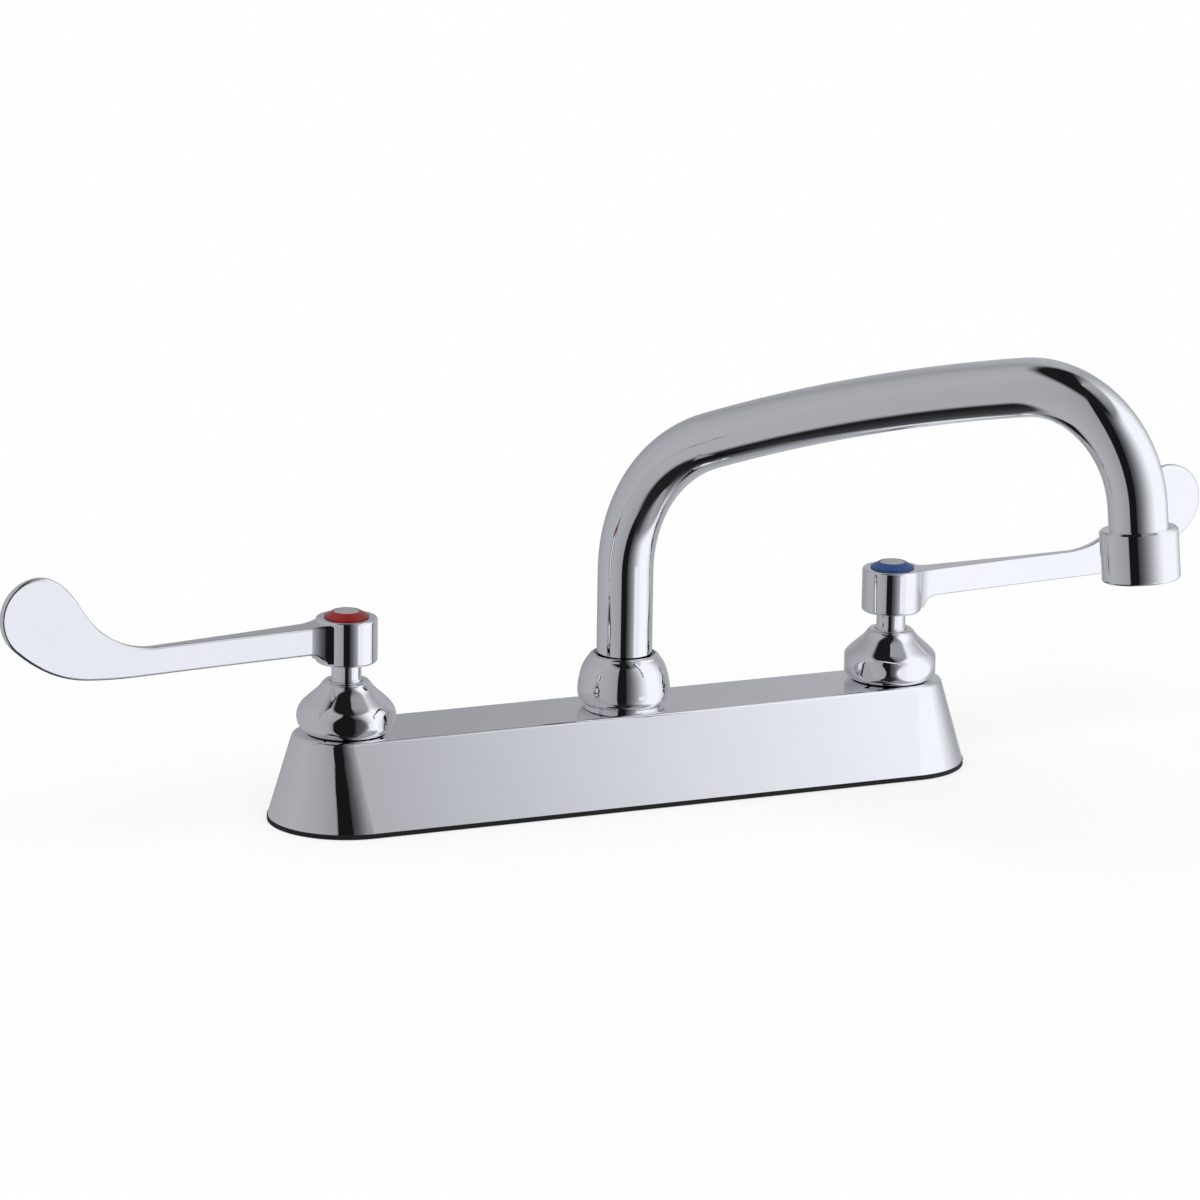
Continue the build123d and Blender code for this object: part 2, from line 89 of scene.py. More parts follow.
class NodeSheet:
    """A node tree with short ways to add nodes and join them."""

    def __init__(self, tree: bpy.types.NodeTree) -> None:
        """Start from a tree, which is emptied."""
        self.tree = tree
        self.tree.nodes.clear()

    def add(self, kind: str, **settings: object) -> bpy.types.Node:
        """Add a node and set its properties.

        Args:
            kind: the node's type name.
            settings: node properties by name.

        Returns:
            The new node.
        """
        node = self.tree.nodes.new(kind)
        for name, value in settings.items():
            setattr(node, name, value)
        return node

    def join(self, start: bpy.types.NodeSocket, end: bpy.types.NodeSocket) -> None:
        """Link an output socket to an input socket."""
        self.tree.links.new(start, end)

    def math(self, operation: str, a: object, b: object = 0.0) -> bpy.types.NodeSocket:
        """Add a Math node.

        Args:
            operation: the node's operation.
            a: a socket or a number for the first input.
            b: a socket or a number for the second input.

        Returns:
            The result socket.
        """
        node = self.add("ShaderNodeMath", operation=operation)
        for socket, value in zip(node.inputs, (a, b)):
            if isinstance(value, bpy.types.NodeSocket):
                self.join(value, socket)
            else:
                socket.default_value = value
        return node.outputs[0]

    def noise(self, vector: bpy.types.NodeSocket, scale: float, detail: float = 2.0) -> bpy.types.NodeSocket:
        """Add a noise texture.

        Args:
            vector: the coordinates that it reads.
            scale: cells per metre.
            detail: octaves of finer noise.

        Returns:
            The factor socket, near 0.5 on average.
        """
        node = self.add("ShaderNodeTexNoise")
        node.inputs["Scale"].default_value = scale
        node.inputs["Detail"].default_value = detail
        self.join(vector, node.inputs["Vector"])
        return node.outputs["Fac"]

    def stretched(self, scale: tuple[float, float, float] = PLAIN) -> bpy.types.NodeSocket:
        """Read Object coordinates, stretched.

        Args:
            scale: a factor for each axis.

        Returns:
            The vector socket.
        """
        place = self.add("ShaderNodeTexCoord")
        mapping = self.add("ShaderNodeMapping")
        mapping.inputs["Scale"].default_value = scale
        self.join(place.outputs["Object"], mapping.inputs["Vector"])
        return mapping.outputs["Vector"]

    def rise(self, value: bpy.types.NodeSocket, low: float, high: float) -> bpy.types.NodeSocket:
        """Go smoothly from 0 to 1 as a value passes from one number to another.

        Args:
            value: the socket to watch.
            low: where the result is 0.
            high: where the result is 1.

        Returns:
            The result socket.
        """
        step = self.add("ShaderNodeMapRange", interpolation_type="SMOOTHSTEP")
        step.inputs["From Min"].default_value = low
        step.inputs["From Max"].default_value = high
        self.join(value, step.inputs["Value"])
        return step.outputs["Result"]

    def blend(
        self, a: bpy.types.NodeSocket, b: bpy.types.NodeSocket, share: bpy.types.NodeSocket
    ) -> bpy.types.NodeSocket:
        """Mix two colours.

        Args:
            a: the colour where share is 0.
            b: the colour where share is 1.
            share: how much of b.

        Returns:
            The mixed colour socket.
        """
        mix = self.add("ShaderNodeMix", data_type="RGBA")
        sockets = {socket.identifier: socket for socket in (*mix.inputs, *mix.outputs)}
        self.join(share, mix.inputs["Factor"])
        self.join(a, sockets["A_Color"])
        self.join(b, sockets["B_Color"])
        return sockets["Result_Color"]

    def shown(self) -> bpy.types.NodeSocket:
        """Tell the rays that show a background from those that light the object.

        Returns:
            A socket that is 1 for camera, glossy and transmission rays.
        """
        rays = self.add("ShaderNodeLightPath")
        seen = self.math("MAXIMUM", rays.outputs["Is Camera Ray"], rays.outputs["Is Glossy Ray"])
        return self.math("MAXIMUM", seen, rays.outputs["Is Transmission Ray"])


def grey(level: float) -> tuple[float, float, float, float]:
    """Write a level of grey as an opaque colour."""
    return (level, level, level, 1.0)


def add_object(name: str, data: bpy.types.ID) -> bpy.types.Object:
    """Put a new object into the scene.

    Args:
        name: the object's name.
        data: its mesh, curve, camera or lamp.

    Returns:
        The object, at the origin.
    """
    thing = bpy.data.objects.new(name, data)
    bpy.context.scene.collection.objects.link(thing)
    return thing


def new_material(name: str) -> tuple[bpy.types.Material, NodeSheet]:
    """Start a material that is made of nodes.

    Args:
        name: the material's name.

    Returns:
        The material and its empty sheet of nodes.
    """
    material = bpy.data.materials.new(name)
    material.use_nodes = True
    return material, NodeSheet(material.node_tree)


@dataclass(frozen=True)
class Finish:
    """A surface finish that builds its own node material.

    Cells are a noise's cells in a metre, and haze is how far the roughness goes down and up, as
    shares of the finish's own.
    """

    name: str
    colour: Colour
    roughness: float

    def material(self) -> bpy.types.Material:
        """Build the material, or return it if it is built already.

        Returns:
            The node material.
        """
        built = bpy.data.materials.get(self.name)
        if built is not None:
            return built
        built, sheet = new_material(self.name)
        surface = sheet.add("ShaderNodeBsdfPrincipled")
        output = sheet.add("ShaderNodeOutputMaterial")
        sheet.join(surface.outputs["BSDF"], output.inputs["Surface"])
        surface.inputs["Base Color"].default_value = (*self.colour, 1.0)
        surface.inputs["Roughness"].default_value = self.roughness
        self.detail(sheet, surface)
        built.diffuse_color = (*self.colour, 1.0)
        return built

    def detail(self, sheet: NodeSheet, surface: bpy.types.Node) -> None:
        """Add what a finish shows beyond its plain colour, which is nothing for a plain one."""

    def tone(
        self, sheet: NodeSheet, surface: bpy.types.Node, value: bpy.types.NodeSocket, depth: float
    ) -> None:
        """Vary the base colour a little with a noise.

        Args:
            sheet: the material's nodes.
            surface: its Principled shader.
            value: the noise factor.
            depth: share of the colour that the darkest spots lose.
        """
        ramp = sheet.add("ShaderNodeValToRGB")
        dark, full = ramp.color_ramp.elements
        dark.position, full.position = NOISE_LOW, NOISE_HIGH
        dark.color = (*(c * (1.0 - depth) for c in self.colour), 1.0)
        full.color = (*self.colour, 1.0)
        sheet.join(value, ramp.inputs["Fac"])
        sheet.join(ramp.outputs["Color"], surface.inputs["Base Color"])

    def roughen(
        self,
        sheet: NodeSheet,
        surface: bpy.types.Node,
        value: bpy.types.NodeSocket,
        span: tuple[float, float],
    ) -> None:
        """Vary the roughness with a noise.

        Args:
            sheet: the material's nodes.
            surface: its Principled shader.
            value: the noise factor.
            span: roughness at the noise's low and high end, as shares of the finish's own.
        """
        node = sheet.add("ShaderNodeMapRange")
        node.inputs["From Min"].default_value = NOISE_LOW
        node.inputs["From Max"].default_value = NOISE_HIGH
        node.inputs["To Min"].default_value = self.roughness * span[0]
        node.inputs["To Max"].default_value = self.roughness * span[1]
        sheet.join(value, node.inputs["Value"])
        sheet.join(node.outputs["Result"], surface.inputs["Roughness"])

    def relief(
        self, sheet: NodeSheet, surface: bpy.types.Node, height: bpy.types.NodeSocket, depth: float
    ) -> None:
        """Raise and sink the surface with a bump.

        Args:
            sheet: the material's nodes.
            surface: its Principled shader.
            height: the height factor.
            depth: metres from the lowest to the highest point.
        """
        bump = sheet.add("ShaderNodeBump")
        bump.inputs["Strength"].default_value = 1.0
        bump.inputs["Distance"].default_value = depth
        sheet.join(height, bump.inputs["Height"])
        sheet.join(bump.outputs["Normal"], surface.inputs["Normal"])


@dataclass(frozen=True)
class ChromePlate(Finish):
    """Polished chrome, with the faint waves of the metal under it."""

    grain: Grain = Grain.CAST
    wave: float = 0.5e-6
    wave_cells: float = 55.0
    haze_cells: float = 900.0
    haze: tuple[float, float] = (0.7, 1.35)
    tone_depth: float = 0.015

    def detail(self, sheet: NodeSheet, surface: bpy.types.Node) -> None:
        """Add the mirror, its soft roughness changes and its waves.

        Args:
            sheet: the material's nodes.
            surface: its Principled shader.
        """
        surface.inputs["Metallic"].default_value = 1.0
        stretch = {
            Grain.CAST: PLAIN,
            Grain.DRAWN: (0.6, 0.6, 1.6),
            Grain.TURNED: (0.4, 0.4, 2.5),
        }[self.grain]
        vector = sheet.stretched(stretch)
        broad = sheet.noise(vector, self.wave_cells, detail=1.0)
        fine = sheet.noise(vector, self.haze_cells, detail=3.0)
        self.tone(sheet, surface, broad, self.tone_depth)
        self.roughen(sheet, surface, fine, self.haze)
        self.relief(sheet, surface, broad, self.wave)


@dataclass(frozen=True)
class MouldedRubber(Finish):
    """Matt black rubber with a fine moulded grain."""

    tone_cells: float = 120.0
    tone_depth: float = 0.35
    grain_cells: float = 2600.0
    grain_depth: float = 2.0e-5
    haze: tuple[float, float] = (11.0 / 12.0, 10.0 / 9.0)

    def detail(self, sheet: NodeSheet, surface: bpy.types.Node) -> None:
        """Add the grain and a slow change of tone.

        Args:
            sheet: the material's nodes.
            surface: its Principled shader.
        """
        vector = sheet.stretched()
        self.tone(sheet, surface, sheet.noise(vector, self.tone_cells), self.tone_depth)
        grain = sheet.noise(vector, self.grain_cells, detail=3.0)
        self.roughen(sheet, surface, grain, self.haze)
        self.relief(sheet, surface, grain, self.grain_depth)


@dataclass(frozen=True)
class MachinedMetal(Finish):
    """Bare turned or rolled metal with fine, level tool marks."""

    marks: float = 4200.0
    marks_depth: float = 3.0e-6
    stretch: tuple[float, float, float] = (0.05, 0.05, 1.0)
    tarnish_cells: float = 160.0
    tarnish: float = 0.12
    haze: tuple[float, float] = (0.8, 1.3)

    def detail(self, sheet: NodeSheet, surface: bpy.types.Node) -> None:
        """Add the level tool marks and a slow tarnish.

        Args:
            sheet: the material's nodes.
            surface: its Principled shader.
        """
        surface.inputs["Metallic"].default_value = 1.0
        lines = sheet.noise(sheet.stretched(self.stretch), self.marks)
        self.tone(sheet, surface, sheet.noise(sheet.stretched(), self.tarnish_cells), self.tarnish)
        self.roughen(sheet, surface, lines, self.haze)
        self.relief(sheet, surface, lines, self.marks_depth)


@dataclass(frozen=True)
class MouldedPlastic(Finish):
    """Moulded plastic or fired ceramic, glossy where it has a coat."""

    coat: float = 0.0
    grain: float = 1.5e-6
    coat_roughness: float = 0.03
    tone_cells: float = 240.0
    tone_depth: float = 0.08
    grain_cells: float = 1500.0
    haze: tuple[float, float] = (0.85, 1.2)

    def detail(self, sheet: NodeSheet, surface: bpy.types.Node) -> None:
        """Add the gloss, a faint texture and a slow change of tone.

        Args:
            sheet: the material's nodes.
            surface: its Principled shader.
        """
        surface.inputs["Coat Weight"].default_value = self.coat
        surface.inputs["Coat Roughness"].default_value = self.coat_roughness
        vector = sheet.stretched()
        self.tone(sheet, surface, sheet.noise(vector, self.tone_cells), self.tone_depth)
        fine = sheet.noise(vector, self.grain_cells)
        self.roughen(sheet, surface, fine, self.haze)
        self.relief(sheet, surface, fine, self.grain)


CHROME_CAST = ChromePlate("chrome_cast", (0.87, 0.875, 0.89), 0.022, Grain.CAST, 0.5e-6)
CHROME_TUBE = ChromePlate("chrome_tube", (0.87, 0.878, 0.885), 0.012, Grain.DRAWN, 0.2e-6)
CHROME_TURNED = ChromePlate("chrome_turned", (0.87, 0.875, 0.885), 0.016, Grain.TURNED, 0.25e-6)
RUBBER = MouldedRubber("rubber_black", (0.010, 0.010, 0.011), 0.72)
BRASS = MachinedMetal("brass_machined", (0.72, 0.55, 0.28), 0.28)
STEEL = MachinedMetal("steel_stainless", (0.60, 0.60, 0.61), 0.26, marks=6000.0)
ACETAL = MouldedPlastic("acetal_natural", (0.85, 0.85, 0.82), 0.42)
CERAMIC = MouldedPlastic("ceramic_lapped", (0.92, 0.90, 0.86), 0.22, grain=0.4e-6)
BUTTON_RED = MouldedPlastic("plastic_red", (0.25, 0.009, 0.006), 0.32, coat=0.1)
BUTTON_BLUE = MouldedPlastic("plastic_blue", (0.016, 0.062, 0.22), 0.32, coat=0.1)
BUTTON_PALE = MouldedPlastic("plastic_pale", (0.36, 0.345, 0.36), 0.3, coat=0.2)


def dress(node: str, finish: Finish) -> None:
    """Give a carried-over CAD node its finish.

    Args:
        node: the node's name.
        finish: the finish it takes.
    """
    for held in bpy.data.objects[node].material_slots:
        held.material = finish.material()
    LOG.info("dressed %s in %s", node, finish.name)


class ShapeTree:
    """A Geometry Nodes tree with named inputs, which ends in real geometry in one finish."""

    def __init__(self, name: str) -> None:
        """Start a tree with a geometry input and output.

        Args:
            name: the tree's name.
        """
        self.group = bpy.data.node_groups.new(name, "GeometryNodeTree")
        for way in ("INPUT", "OUTPUT"):
            self.group.interface.new_socket("Geometry", in_out=way, socket_type="NodeSocketGeometry")
        self.sheet = NodeSheet(self.group)
        self.inputs = self.sheet.add("NodeGroupInput")
        self.outputs = self.sheet.add("NodeGroupOutput")
        self.values: dict[str, object] = {}
        self.finish = self.socket("Finish", "NodeSocketMaterial", None)

    def socket(self, name: str, kind: str, value: object) -> bpy.types.NodeSocket:
        """Add a named input.

        Args:
            name: the input's name.
            kind: its socket type.
            value: what the modifier gives it, or None for the piece's finish.

        Returns:
            The input's socket inside the tree.
        """
        item = self.group.interface.new_socket(name, in_out="INPUT", socket_type=kind)
        self.values[item.identifier] = value
        return self.inputs.outputs[name]

    def length(self, name: str, value: float) -> bpy.types.NodeSocket:
        """Add a named length."""
        return self.socket(name, "NodeSocketFloat", value)

    def count(self, name: str, value: int) -> bpy.types.NodeSocket:
        """Add a named whole number."""
        return self.socket(name, "NodeSocketInt", value)

    def circle(self, radius: bpy.types.NodeSocket, sides: bpy.types.NodeSocket) -> bpy.types.NodeSocket:
        """Draw a circle.

        Args:
            radius: its radius.
            sides: how many points it has.

        Returns:
            The circle as a curve socket.
        """
        ring = self.sheet.add("GeometryNodeCurvePrimitiveCircle", mode="RADIUS")
        self.sheet.join(radius, ring.inputs["Radius"])
        self.sheet.join(sides, ring.inputs["Resolution"])
        return ring.outputs["Curve"]

    def sweep(
        self, path: bpy.types.NodeSocket, profile: bpy.types.NodeSocket, caps: bool = False
    ) -> bpy.types.NodeSocket:
        """Sweep a profile along a path.

        Args:
            path: the curve to follow.
            profile: the curve that is swept.
            caps: whether the ends are closed.

        Returns:
            The swept mesh socket.
        """
        node = self.sheet.add("GeometryNodeCurveToMesh")
        node.inputs["Fill Caps"].default_value = caps
        self.sheet.join(path, node.inputs["Curve"])
        self.sheet.join(profile, node.inputs["Profile Curve"])
        return node.outputs["Mesh"]

    def close(self, geometry: bpy.types.NodeSocket) -> None:
        """End the tree in smooth, realized geometry with its finish.

        Args:
            geometry: the geometry to hand out.
        """
        smooth = self.sheet.add("GeometryNodeSetShadeSmooth")
        real = self.sheet.add("GeometryNodeRealizeInstances")
        paint = self.sheet.add("GeometryNodeSetMaterial")
        self.sheet.join(self.finish, paint.inputs["Material"])
        for step in (smooth, real, paint):
            self.sheet.join(geometry, step.inputs["Geometry"])
            geometry = step.outputs["Geometry"]
        self.sheet.join(geometry, self.outputs.inputs["Geometry"])

    def grow(self, seed: bpy.types.Object, name: str, finish: Finish, wall: float = 0.0) -> bpy.types.Object:
        """Run the tree on an object and keep the result as a plain mesh.

        Args:
            seed: the object whose data the tree reads, which is removed.
            name: the new piece's name.
            finish: the finish of the result.
            wall: how far an open skin is thickened inwards, 0 for a piece that is solid already.

        Returns:
            The new mesh object, with its edges sharp.
        """
        modifier = seed.modifiers.new("shape", "NODES")
        modifier.node_group = self.group
        for identifier, value in self.values.items():
            modifier[identifier] = finish.material() if value is None else value
        if wall:
            thick = seed.modifiers.new("wall", "SOLIDIFY")
            thick.thickness = wall
            thick.offset = -1.0
            thick.use_even_offset = True
        graph = bpy.context.evaluated_depsgraph_get()
        mesh = bpy.data.meshes.new_from_object(seed.evaluated_get(graph), depsgraph=graph)
        mesh.name = name
        mesh.set_sharp_from_angle(angle=math.radians(SHARP_DEG))
        bpy.data.objects.remove(seed)
        return add_object(name, mesh)


def path_object(name: str, points: list[Vector]) -> bpy.types.Object:
    """Make a curve object through points.

    Args:
        name: the curve's name.
        points: where it goes.

    Returns:
        The curve object.
    """
    curve = bpy.data.curves.new(name, "CURVE")
    curve.dimensions = "3D"
    spline = curve.splines.new("POLY")
    spline.points.add(len(points) - 1)
    for held, place in zip(spline.points, points):
        held.co = (*place, 1.0)
    return add_object(name, curve)


def smooth_line(points: tuple[tuple[float, float], ...], count: int) -> list[tuple[float, float]]:
    """Go through points on one natural cubic spline.

    Args:
        points: the points to pass, in order.
        count: how many places on the curve to give back.

    Returns:
        Places on the curve, evenly spaced by the chords between the points.
    """
    knots = np.array(points)
    gaps = np.hypot(*np.diff(knots, axis=0).T)
    place = np.concatenate(([0.0], np.cumsum(gaps)))
    last = len(points) - 1
    system = np.eye(last + 1)
    pull = np.zeros((last + 1, 2))
    for k in range(1, last):
        system[k, k - 1 : k + 2] = gaps[k - 1], 2.0 * (gaps[k - 1] + gaps[k]), gaps[k]
        pull[k] = 6.0 * ((knots[k + 1] - knots[k]) / gaps[k] - (knots[k] - knots[k - 1]) / gaps[k - 1])
    bend = np.linalg.solve(system, pull)
    line = []
    for reached in np.linspace(0.0, place[-1], count):
        k = min(int(np.searchsorted(place, reached, side="right")) - 1, last - 1)
        gap, ahead, behind = gaps[k], place[k + 1] - reached, reached - place[k]
        spot = (bend[k] * ahead**3 + bend[k + 1] * behind**3) / (6.0 * gap)
        spot += (knots[k] / gap - bend[k] * gap / 6.0) * ahead
        spot += (knots[k + 1] / gap - bend[k + 1] * gap / 6.0) * behind
        line.append((float(spot[0]), float(spot[1])))
    return line


@dataclass
class Base:
    """The casting on its gasket, with the spout nut that is screwed on it."""

    casting: Finish = CHROME_CAST
    nut: Finish = CHROME_TURNED

    def build(self) -> None:
        """Dress the pieces that stand still in the middle."""
        dress("base_casting", self.casting)
        dress("base_gasket", RUBBER)
        dress("spout_nut", self.nut)
        dress("spout_bearing_ring", ACETAL)


@dataclass
class Bonnet:
    """A bell-shaped bonnet whose widest band has six flats, each slightly crowned by polishing."""

    side: Side
    flat_deg: float
    neck_r: float = 12.6 * MM
    foot: float = 30.4 * MM
    # The wall in millimetres: offset from the neck's radius and height over the foot
    wall: tuple[tuple[float, float], ...] = (
        (0.9, 0.0),
        (2.6, 1.2),
        (3.75, 3.2),
        (4.15, 5.2),
        (3.85, 7.5),
        (2.7, 9.7),
        (0.7, 11.7),
        (-1.55, 13.7),
        (-3.4, 15.5),
        (-4.5, 17.0),
    )
    height: float = 17.8 * MM
    top_r: float = 7.3 * MM
    hole_r: float = 5.6 * MM
    # The inside: radius and height over the foot where its cone ends and starts
    roof: tuple[float, float] = (6.4 * MM, 15.2 * MM)
    shoulder: tuple[float, float] = (10.6 * MM, 10.6 * MM)
    thread_r: float = 12.65 * MM
    flats: int = 6
    flat_half: float = 15.35 * MM
    crown_r: float = 38.0 * MM
    edge: float = 0.2 * MM
    around: int = 360
    along: int = 72

    def section(self) -> list[tuple[float, float]]:
        """Draw the bonnet's closed section, up its wall and down its inside.

        Returns:
            Radius and height of each point.
        """
        bell = smooth_line(self.wall, self.along)
        outside = [(self.neck_r + out * MM, self.foot + up * MM) for out, up in bell]
        inside = [
            (self.top_r, self.height),
            (self.hole_r, self.height),
            (self.hole_r, self.roof[1]),
            self.roof,
            self.shoulder,
            (self.thread_r, self.shoulder[1]),
            (self.thread_r, 0.0),
        ]
        return outside + [(radius, self.foot + up) for radius, up in inside]

    def flat(self, angle: float) -> float:
        """Find how far out the crowned flats reach.

        Args:
            angle: the direction from the axis, in radians.

        Returns:
            The radius there.
        """
        share = math.tau / self.flats
        off = (angle - math.radians(self.flat_deg) + share / 2.0) % share - share / 2.0
        widest = self.neck_r + max(out for out, _ in self.wall) * MM
        half_width = math.sqrt(widest**2 - self.flat_half**2)
        bulge = self.crown_r - math.sqrt(self.crown_r**2 - half_width**2)
        centre = self.flat_half + bulge - self.crown_r
        return centre * math.cos(off) + math.sqrt(self.crown_r**2 - (centre * math.sin(off)) ** 2)

    def cut(self, radius: float, flat: float) -> float:
        """Cut a radius to its flat, with a softly rounded edge between the two."""
        near = max(self.edge - abs(radius - flat), 0.0)
        return min(radius, flat) - near * near / (4.0 * self.edge)

    def skin(self, x: float, y: float) -> tuple[list[tuple[float, float, float]], list[tuple[int, ...]]]:
        """Turn the section about an upright axis and cut the flats.

        Args:
            x: the axis's place along X.
            y: the axis's place along Y.

        Returns:
            The corners and the faces between them.
        """
        section = self.section()
        size = len(section)
        corners = []
        faces = []
        for k in range(self.around):
            angle = math.tau * k / self.around
            flat = self.flat(angle)
            for radius, z in section:
                held = self.cut(radius, flat)
                corners.append((x + held * math.cos(angle), y + held * math.sin(angle), z))
            here, after = k * size, (k + 1) % self.around * size
            for i in range(size):
                up = (i + 1) % size
                faces.append((here + i, after + i, after + up, here + up))
        return corners, faces

    def build(self) -> None:
        """Build the bonnet about its valve's axis, in the place of the plain one."""
        node = f"{self.side.value}_bonnet"
        low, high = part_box(node)
        corners, faces = self.skin((low[0] + high[0]) / 2.0, (low[1] + high[1]) / 2.0)
        mesh = bpy.data.meshes.new(f"{node}_bell")
        mesh.from_pydata(corners, [], faces)
        mesh.polygons.foreach_set("use_smooth", [True] * len(faces))
        mesh.set_sharp_from_angle(angle=math.radians(SHARP_DEG))
        mesh.materials.append(CHROME_TURNED.material())
        bell = add_object(mesh.name, mesh)
        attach(bell, "base")
        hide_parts(node)
        LOG.info("built %s with %d faces", bell.name, len(faces))


@dataclass
class Valve:
    """One valve: bonnet, cartridge, stem and wristblade handle with its index button."""

    side: Side
    ring: Finish
    flat_deg: float

    def build(self) -> None:
        """Build the bonnet and dress the valve's other pieces."""
        Bonnet(self.side, self.flat_deg).build()
        finishes = {
            "cartridge_housing": CHROME_TURNED,
            "fixed_disc": CERAMIC,
            "moving_disc": CERAMIC,
            "seat_seal": RUBBER,
            "housing_oring": RUBBER,
            "stem": BRASS,
            "stem_orings": RUBBER,
            "handle": CHROME_CAST,
            "handle_screw": STEEL,
            "index_ring": self.ring,
            "index_cap": BUTTON_PALE,
        }
        for piece, finish in finishes.items():
            dress(f"{self.side.value}_{piece}", finish)


@dataclass
class Screen:
    """The aerator's wire screen: two sets of crimped wires, woven inside a hoop."""

    beyond: float = 2.275 * MM
    hoop_r: float = 10.7 * MM
    hoop_width: float = 1.3 * MM
    hoop_height: float = 0.65 * MM
    hoop_sides: int = 96
    pitch: float = 1.25 * MM
    wires: int = 7
    wire_r: float = 0.13 * MM
    wire_sides: int = 8
    crimp: float = 0.145 * MM
    steps_per_pitch: float = 4.0

    def rows(self, tree: ShapeTree, turn: float) -> bpy.types.NodeSocket:
        """Lay straight wires side by side across the hoop.

        Args:
            tree: the tree to add to.
            turn: degrees that the set is turned by.

        Returns:
            The wires as a curve socket.
        """
        sheet = tree.sheet
        pitch, reach = (tree.inputs.outputs[name] for name in ("Pitch", "Hoop Radius"))
        start, step, left, right = (sheet.add("ShaderNodeCombineXYZ") for _ in range(4))
        sheet.join(sheet.math("MULTIPLY", pitch, -float(self.wires)), start.inputs["Y"])
        sheet.join(pitch, step.inputs["Y"])
        sheet.join(sheet.math("MULTIPLY", reach, -1.0), left.inputs["X"])
        sheet.join(reach, right.inputs["X"])
        places = sheet.add("GeometryNodeMeshLine", mode="OFFSET")
        places.inputs["Count"].default_value = 2 * self.wires + 1
        sheet.join(start.outputs[0], places.inputs["Start Location"])
        sheet.join(step.outputs[0], places.inputs["Offset"])
        wire = sheet.add("GeometryNodeCurvePrimitiveLine", mode="POINTS")
        sheet.join(left.outputs[0], wire.inputs["Start"])
        sheet.join(right.outputs[0], wire.inputs["End"])
        copies = sheet.add("GeometryNodeInstanceOnPoints")
        sheet.join(places.outputs["Mesh"], copies.inputs["Points"])
        sheet.join(wire.outputs["Curve"], copies.inputs["Instance"])
        real = sheet.add("GeometryNodeRealizeInstances")
        sheet.join(copies.outputs["Instances"], real.inputs["Geometry"])
        turned = sheet.add("GeometryNodeTransform")
        turned.inputs["Rotation"].default_value = (0.0, 0.0, math.radians(turn))
        sheet.join(real.outputs["Geometry"], turned.inputs["Geometry"])
        return turned.outputs["Geometry"]

    def trimmed(
        self, tree: ShapeTree, wires: bpy.types.NodeSocket, place: bpy.types.Node
    ) -> bpy.types.NodeSocket:
        """Divide the wires into short steps and end them in the middle of the hoop.

        Args:
            tree: the tree to add to.
            wires: the straight wires.
            place: the node that gives each point's position.

        Returns:
            The trimmed wires as a curve socket.
        """
        sheet = tree.sheet
        pitch, reach, width = (tree.inputs.outputs[name] for name in ("Pitch", "Hoop Radius", "Hoop Width"))
        fine = sheet.add("GeometryNodeResampleCurve", mode="LENGTH")
        sheet.join(wires, fine.inputs["Curve"])
        sheet.join(sheet.math("DIVIDE", pitch, self.steps_per_pitch), fine.inputs["Length"])
        away = sheet.add("ShaderNodeVectorMath", operation="LENGTH")
        sheet.join(place.outputs[0], away.inputs[0])
        inside = sheet.math("SUBTRACT", reach, sheet.math("MULTIPLY", width, 0.5))
        trim = sheet.add("GeometryNodeDeleteGeometry", domain="POINT")
        sheet.join(fine.outputs["Curve"], trim.inputs["Geometry"])
        sheet.join(sheet.math("GREATER_THAN", away.outputs["Value"], inside), trim.inputs["Selection"])
        return trim.outputs["Geometry"]

    def layer(self, tree: ShapeTree, turn: float, lift: float) -> bpy.types.NodeSocket:
        """Lay one set of parallel wires that pass over and under the other set.

        Args:
            tree: the tree to add to.
            turn: degrees that the set is turned by.
            lift: 1 or -1, for the set that is up or down where the middle wires cross.

        Returns:
            The wires as a mesh socket.
        """
        sheet = tree.sheet
        pitch, wire_r, crimp = (tree.inputs.outputs[name] for name in ("Pitch", "Wire Radius", "Crimp"))
        place = sheet.add("GeometryNodeInputPosition")
        wires = self.trimmed(tree, self.rows(tree, turn), place)
        parts = sheet.add("ShaderNodeSeparateXYZ")
        sheet.join(place.outputs[0], parts.inputs[0])
        waves = []
        for axis in ("X", "Y"):
            turns = sheet.math("MULTIPLY", sheet.math("DIVIDE", parts.outputs[axis], pitch), math.pi)
            waves.append(sheet.math("COSINE", turns))
        height = sheet.math("MULTIPLY", sheet.math("MULTIPLY", *waves), sheet.math("MULTIPLY", crimp, lift))
        offset = sheet.add("ShaderNodeCombineXYZ")
        sheet.join(height, offset.inputs["Z"])
        bent = sheet.add("GeometryNodeSetPosition")
        sheet.join(wires, bent.inputs["Geometry"])
        sheet.join(offset.outputs[0], bent.inputs["Offset"])
        circle = tree.circle(wire_r, tree.inputs.outputs["Wire Sides"])
        return tree.sweep(bent.outputs["Geometry"], circle, caps=True)

    def hoop(self, tree: ShapeTree) -> bpy.types.NodeSocket:
        """Sweep the hoop's flat section round the screen.

        Args:
            tree: the tree to add to.

        Returns:
            The hoop as a mesh socket.
        """
        sheet = tree.sheet
        reach, width, height, sides = (
            tree.inputs.outputs[name] for name in ("Hoop Radius", "Hoop Width", "Hoop Height", "Hoop Sides")
        )
        middle = tree.circle(sheet.math("SUBTRACT", reach, sheet.math("MULTIPLY", width, 0.5)), sides)
        section = sheet.add("GeometryNodeCurvePrimitiveQuadrilateral", mode="RECTANGLE")
        sheet.join(width, section.inputs["Width"])
        sheet.join(height, section.inputs["Height"])
        return tree.sweep(middle, section.outputs["Curve"])

